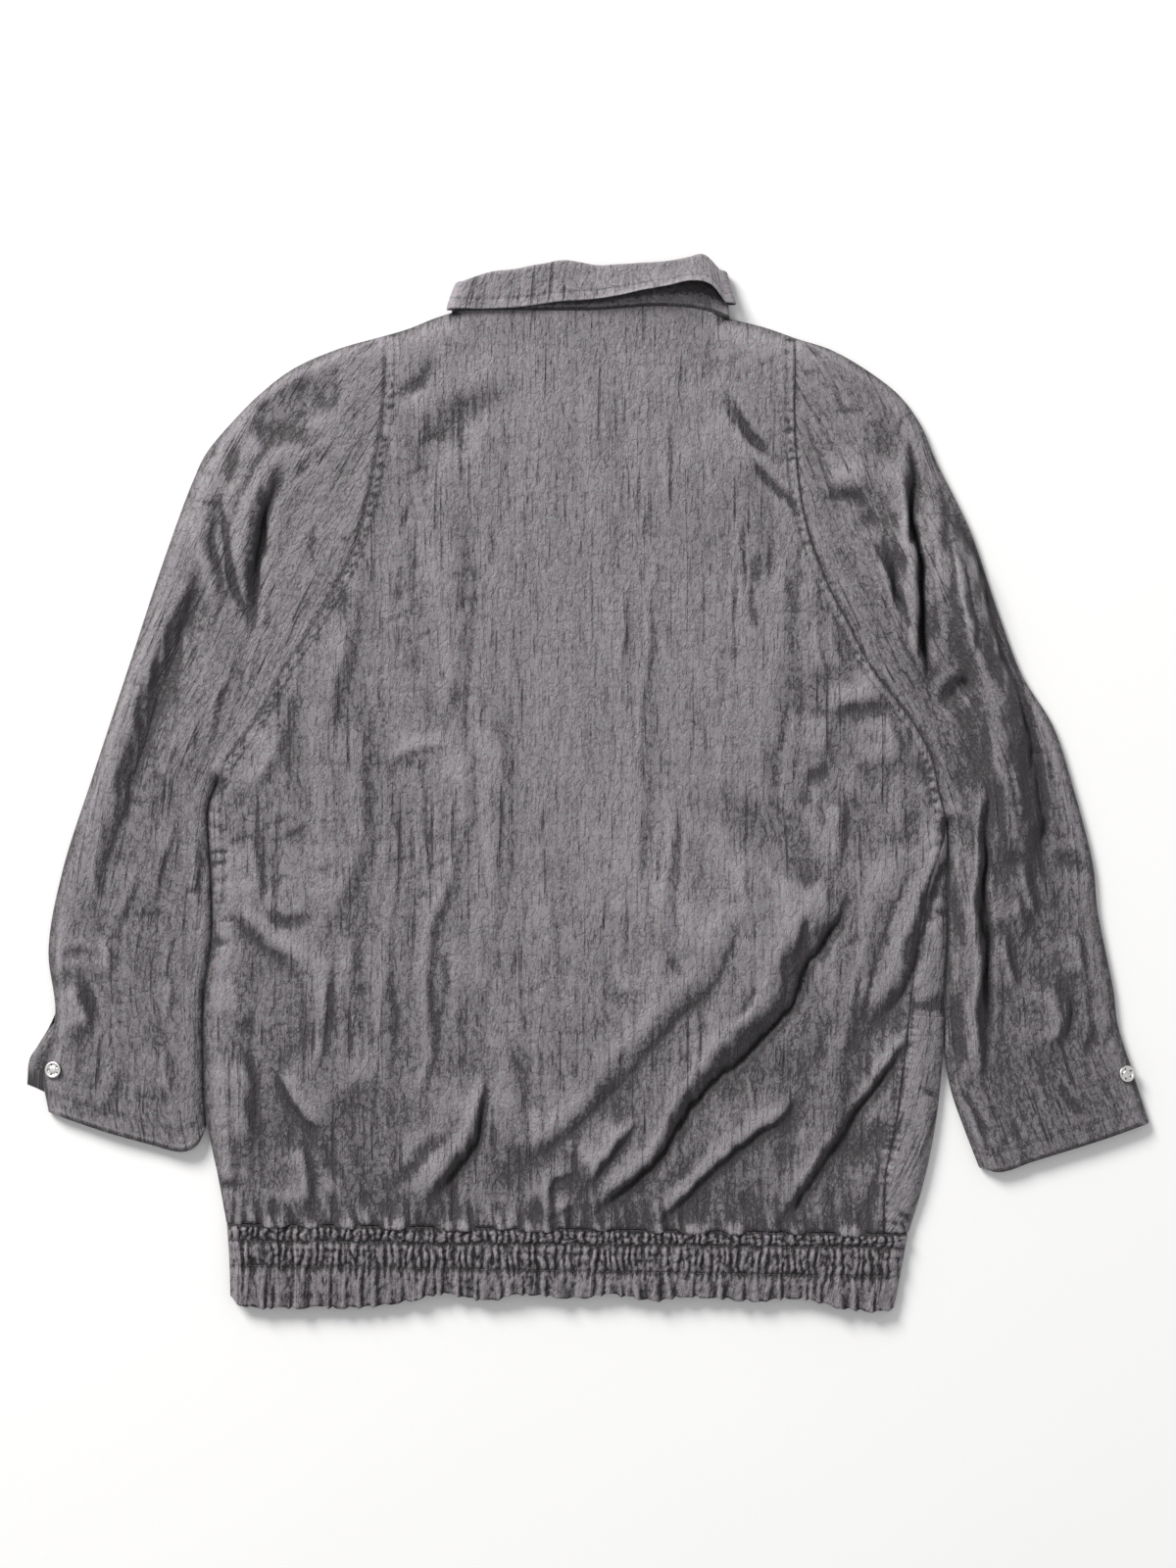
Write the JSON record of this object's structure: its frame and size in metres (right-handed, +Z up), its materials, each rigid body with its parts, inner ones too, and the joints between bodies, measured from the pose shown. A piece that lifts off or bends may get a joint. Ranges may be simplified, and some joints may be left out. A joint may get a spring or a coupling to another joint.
{
  "type": "windbreaker jacket",
  "caption": "Loose windbreaker jacket laid flat with its back up: wide armholes, tapered sleeves with snapped cuffs, fold-over collar, snap front, patch pockets and a gathered waistband.",
  "frame": {"origin": "on the surface that the jacket rests on, under the middle of its bounding box", "axes": "+X towards the wearer's right sleeve, +Y from the hem towards the collar, +Z up out of the back panel"},
  "size_m": [0.826, 0.7762, 0.0277],
  "materials": {
    "cloth": "crinkled satin-sheen nylon, warm grey with a purple cast",
    "band_cloth": "the same cloth in tight gathers",
    "snap_metal": "polished"
  },
  "bodies": {
    "root": {"back": "cloth", "front_left": "cloth", "front_right": "cloth", "sleeve_left": "cloth", "sleeve_right": "cloth", "collar": "cloth", "pocket_left": "cloth", "pocket_right": "cloth", "waistband": "band_cloth", "snap_cuff_left": "snap_metal", "snap_cuff_right": "snap_metal", "snap_front_1": "snap_metal", "snap_front_2": "snap_metal", "snap_front_3": "snap_metal", "snap_front_4": "snap_metal", "snap_front_5": "snap_metal", "snap_front_6": "snap_metal"}
  },
  "joints": []
}
